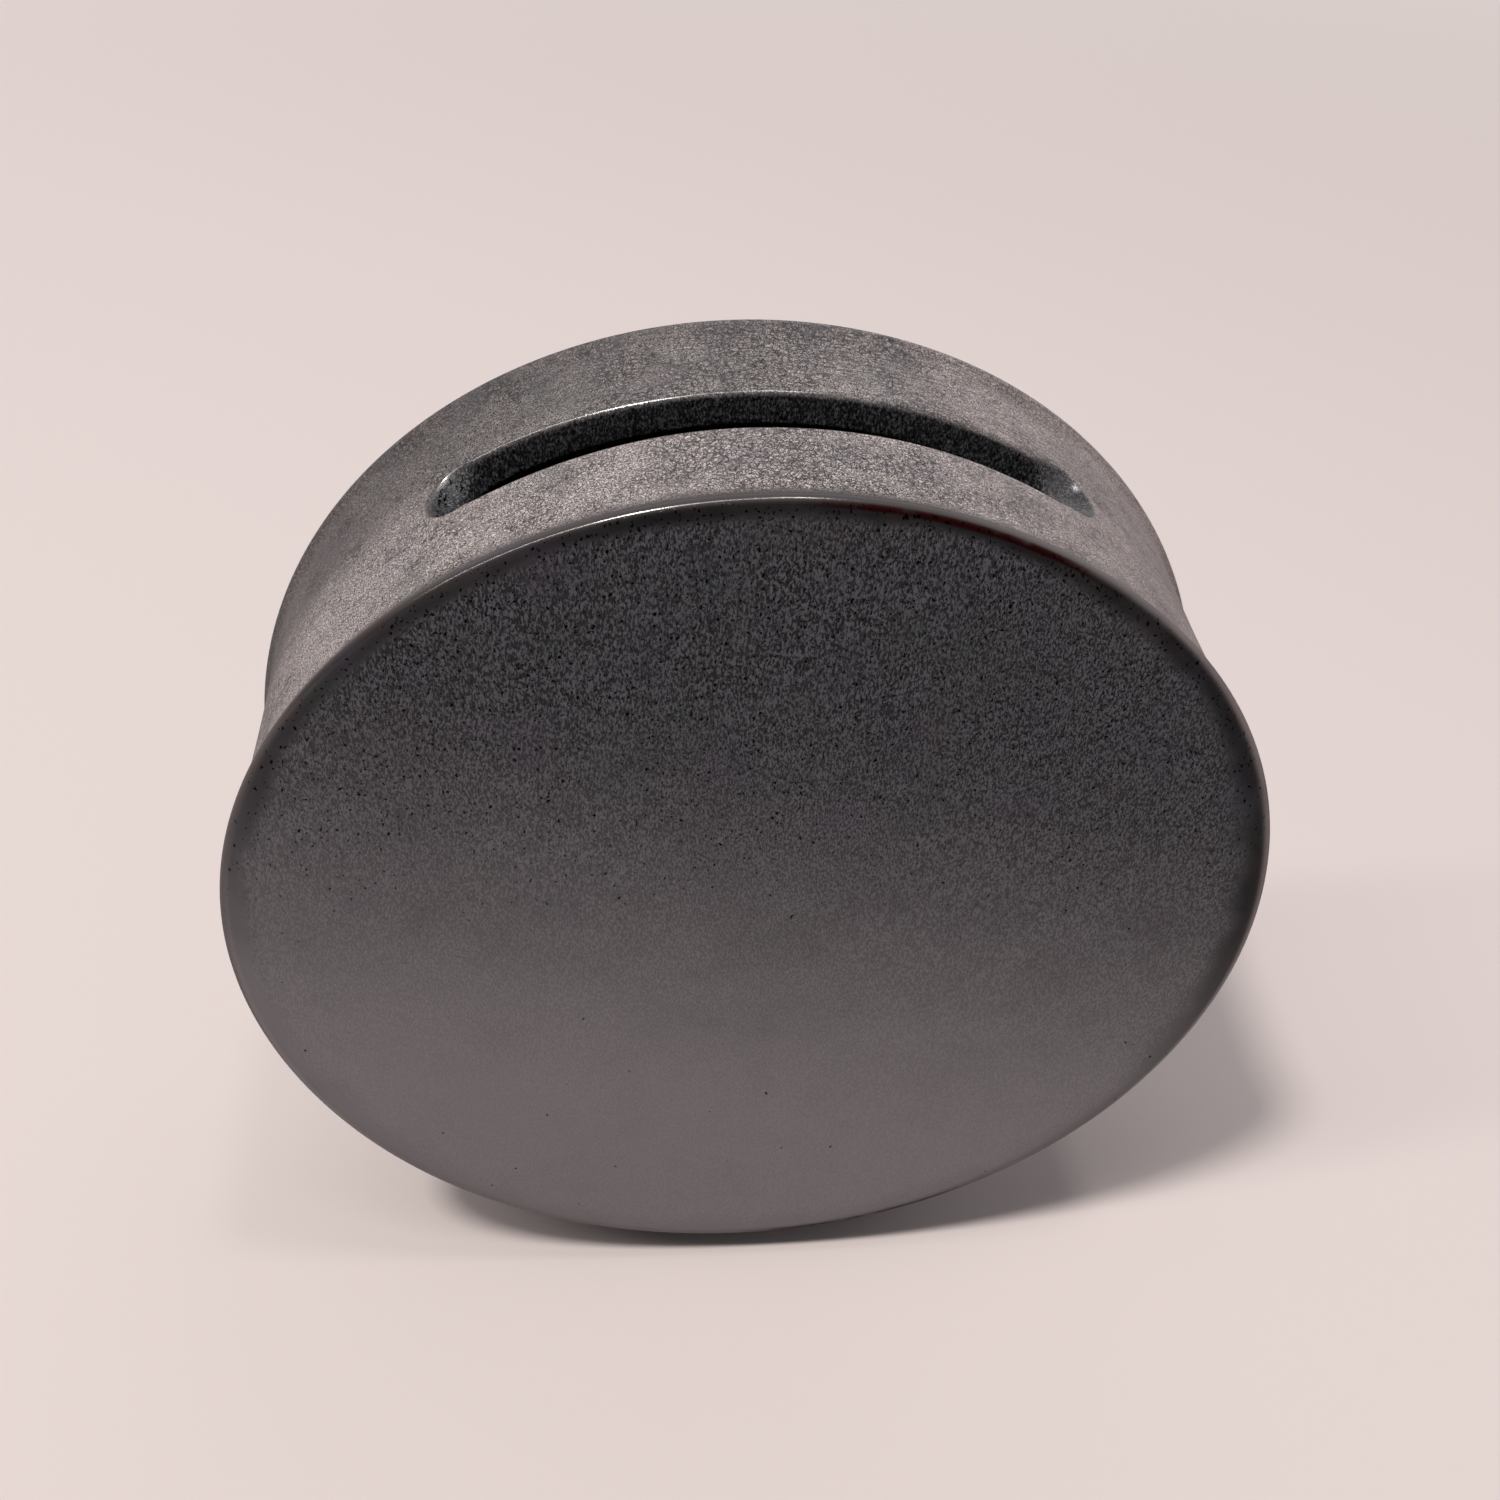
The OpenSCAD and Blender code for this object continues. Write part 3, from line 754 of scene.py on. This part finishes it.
def makeBaseStrip():
    seam, steps, wide = vase["seam"], band["steps"]["lower"], band["steps"]["across"]
    rows = [seam * (2 * i / wide - 1) for i in range(wide + 1)]
    full = math.tau * vase["band"]

    def at(i, d):
        return scarfAt(d) + (full - 2 * scarfAt(d)) * i / steps

    sheets, depths = stripSheets(at, rows, steps)
    sheets += [[[bandPoint(at(i, d), a, d) for a in rows] for d in depths] for i in (0, steps)]
    return meshPiece("baseStrip", sheetsToMesh("baseStrip", sheets), glaze)


mouthStrip = makeMouthStrip()
baseStrip = makeBaseStrip()
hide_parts("mouth_band")
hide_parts("base_band")

foot = {
    "wall": 7 * mm,
    "edge": 1.5 * mm,          # softened standing edges
    "lute": 1.8 * mm,          # clay smoothed up onto the band
    "sink": 0.5 * mm,          # how far the ring's top runs into the band's skin
    "luteFrom": 0.84,          # share of the ring's height where that clay starts
    "steps": (36, 34, 6),      # round an end, along a side, and over an edge
}


def footLoop(height, inset, climb):  # a stadium, walked round once; climb is how far it follows the band
    half, straight = footHigh.y - inset, footHigh.x - footHigh.y
    endSteps, sideSteps = foot["steps"][:2]
    walk = []
    for side in (1, -1):
        walk += [(side * (straight + half * math.cos(a)), side * half * math.sin(a))
                 for a in (math.pi / 2 - math.pi * i / endSteps for i in range(endSteps + 1))]
        walk += [(side * (straight - 2 * straight * i / sideSteps), -side * half)
                 for i in range(1, sideSteps)]
    loop = []
    for x, y in walk + walk[:1]:
        seat = vase["axis"] - math.sqrt((vase["band"] - foot["sink"]) ** 2 - x * x)
        loop.append(Vector((x, y, height + (seat - height) * climb)))
    return loop


def makeFoot():
    edge, wall, lute, luteFrom = (foot[key] for key in ("edge", "wall", "lute", "luteFrom"))
    steps = foot["steps"][2]
    quarter = [math.pi / 2 * i / steps for i in range(steps + 1)]
    rounded = [(edge * (1 - math.cos(a)), edge * (1 - math.sin(a)), 0.0) for a in quarter]
    rise = [(edge, 0.0, luteFrom * i / steps) for i in range(1, steps + 1)]
    luted = [(edge, -lute * (1 - math.cos(a)), luteFrom + (1 - luteFrom) * math.sin(a))
             for a in quarter[1:]]
    outer = rounded + rise + luted
    inner = [(h, wall - inset, climb) for h, inset, climb in reversed(outer)]
    loops = [footLoop(*step) for step in inner + outer]
    return meshPiece("footRing", sheetsToMesh("footRing", [loops + loops[:1]]), glaze)


footRing = makeFoot()
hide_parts("foot_ring")

for name in ("front_corner_coil", "back_corner_coil"):
    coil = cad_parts[name]
    coil.data.materials.clear()
    coil.data.materials.append(innerGlaze)
for piece, finish in ((frontFace, "satin_glaze"), (backFace, "satin_glaze"), (mouthStrip, "satin_glaze"),
                      (baseStrip, "satin_glaze"), (footRing, "foot_clay")):
    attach(piece, "root")
print("pieces made")

studio = {
    "floor": "#e6dad7", "floorBounce": "#afa4a3", "backdrop": "#ebe1de", "sky": "#e4e5e9",
    "floorReach": 6.0, "fadeFrom": 0.6, "fadeTo": 2.2,    # radii; it fades into the backdrop
    "skyStrength": 0.31, "skySlope": 0.42, "skySide": (0.45, 0.65, 0.0),
    "azimuth": -6.96, "elevation": 40.51, "roll": 3.87,   # the photograph's view, in degrees
    "distance": 342.5 * mm, "target": (0.1 * mm, 0.0, 136.9 * mm), "lens": 39.59,
    "key": (-1.68, -1.20, 4.66), "keySize": (0.62, 0.62), "keyWatts": 121.0, "keyTint": "#fffaf5",
    "strip": (-1.9, -1.0, 3.9), "stripSize": (5.0, 0.27), "stripWatts": 66.0, "stripTint": "#fffcfa",
    "stripRun": (4.65, -0.3, 2.2),    # the rim mirrors it as one long line
    # the glint shows in the right hollow
    "glint": (0.59, -0.35, 4.15), "glintSize": (0.5, 0.5), "glintWatts": 16.0, "glintTint": "#fffcfa",
}


def seenByCamera(tree):  # 1 where the camera looks, straight or through glass
    ray = add(tree, "ShaderNodeLightPath").outputs
    return add(tree, mathNode, {0: ray["Is Camera Ray"], 1: ray["Is Transmission Ray"]},
               operation="MAXIMUM")


def makeFloor():
    mesh = bpy.data.meshes.new("floor")
    work = bmesh.new()
    bmesh.ops.create_circle(work, cap_ends=True, segments=96, radius=studio["floorReach"])
    work.to_mesh(mesh)
    work.free()
    floor = bpy.data.objects.new("floor", mesh)
    show(floor)
    material, tree = newMaterial("palePaper")
    seen = seenByCamera(tree)
    tone = add(tree, mixNode, {0: seen, 6: linear(studio["floorBounce"]), 7: linear(studio["floor"])},
               **inColour)
    shader = add(tree, "ShaderNodeBsdfPrincipled", {"Base Color": tone.outputs[2], "Roughness": 0.9,
                 "Specular IOR Level": 0.2})
    # far away the floor fades into the backdrop for the camera
    far = add(tree, vectorNode, {0: add(tree, "ShaderNodeTexCoord").outputs["Object"]},
              operation="LENGTH").outputs["Value"]
    fade = add(tree, rangeNode, {"Value": far, "From Min": studio["fadeFrom"],
               "From Max": studio["fadeTo"], "To Max": seen}, **eased)
    haze = add(tree, "ShaderNodeEmission", {"Color": linear(studio["backdrop"]), "Strength": 1.0})
    mixed = add(tree, "ShaderNodeMixShader", {0: fade, 1: shader, 2: haze})
    add(tree, "ShaderNodeOutputMaterial", {0: mixed})
    mesh.materials.append(material)


def makeWorld():
    world = bpy.data.worlds.new("studio")
    world.use_nodes = True
    tree = world.node_tree
    tree.nodes.clear()
    seen = seenByCamera(tree)
    # the room is brighter behind and on the right than in front and on the left
    way = add(tree, "ShaderNodeTexCoord").outputs["Generated"]
    side = add(tree, vectorNode, {0: way, 1: studio["skySide"]},
               operation="DOT_PRODUCT").outputs["Value"]
    level = add(tree, mathNode, {0: side, 1: studio["skySlope"], 2: studio["skyStrength"]}, **timesPlus)
    around = add(tree, "ShaderNodeBackground", {"Color": linear(studio["sky"]), "Strength": level})
    shown = add(tree, "ShaderNodeBackground", {"Color": linear(studio["backdrop"]), "Strength": 1.0})
    mixed = add(tree, "ShaderNodeMixShader", {0: seen, 1: around, 2: shown})
    add(tree, "ShaderNodeOutputWorld", {0: mixed})
    bpy.context.scene.world = world


def stand(thing, right, top, back, place):  # places a lamp or camera by its three axes
    pose = Matrix((right, top, back)).transposed().to_4x4()
    pose.translation = place
    thing.matrix_world = pose
    show(thing)


def makeLamp(name, shape, run=(1, 0, 0)):  # a softbox that looks at the vase
    lamp = bpy.data.lights.new(name, "AREA")
    lamp.shape, lamp.energy = shape, studio[name + "Watts"]
    lamp.size, lamp.size_y = studio[name + "Size"]
    lamp.color = linear(studio[name + "Tint"])[:3]
    place = Vector(studio[name])
    back = (place - Vector((0, 0, vase["axis"]))).normalized()
    top = back.cross(Vector(run)).normalized()
    stand(bpy.data.objects.new(name + "Softbox", lamp), top.cross(back), top, back, place)


def makeCamera():
    data = bpy.data.cameras.new("camera")
    data.sensor_width, data.lens = 36.0, studio["lens"]
    data.clip_start, data.clip_end = 0.01, 20.0
    around, up, roll = (math.radians(studio[k]) for k in ("azimuth", "elevation", "roll"))
    back = Vector((math.sin(around) * math.cos(up), -math.cos(around) * math.cos(up), math.sin(up)))
    right = (-back).cross(Vector((0, 0, 1))).normalized()
    top = right.cross(-back)
    camera = bpy.data.objects.new("camera", data)
    stand(camera, math.cos(roll) * right + math.sin(roll) * top,
          math.cos(roll) * top - math.sin(roll) * right, back,
          Vector(studio["target"]) + back * studio["distance"])
    bpy.context.scene.camera = camera


makeFloor()
makeWorld()
makeLamp("key", "ELLIPSE")
makeLamp("strip", "RECTANGLE", studio["stripRun"])
makeLamp("glint", "ELLIPSE")
makeCamera()
bpy.context.scene.view_settings.view_transform = "Standard"
print("studio set")
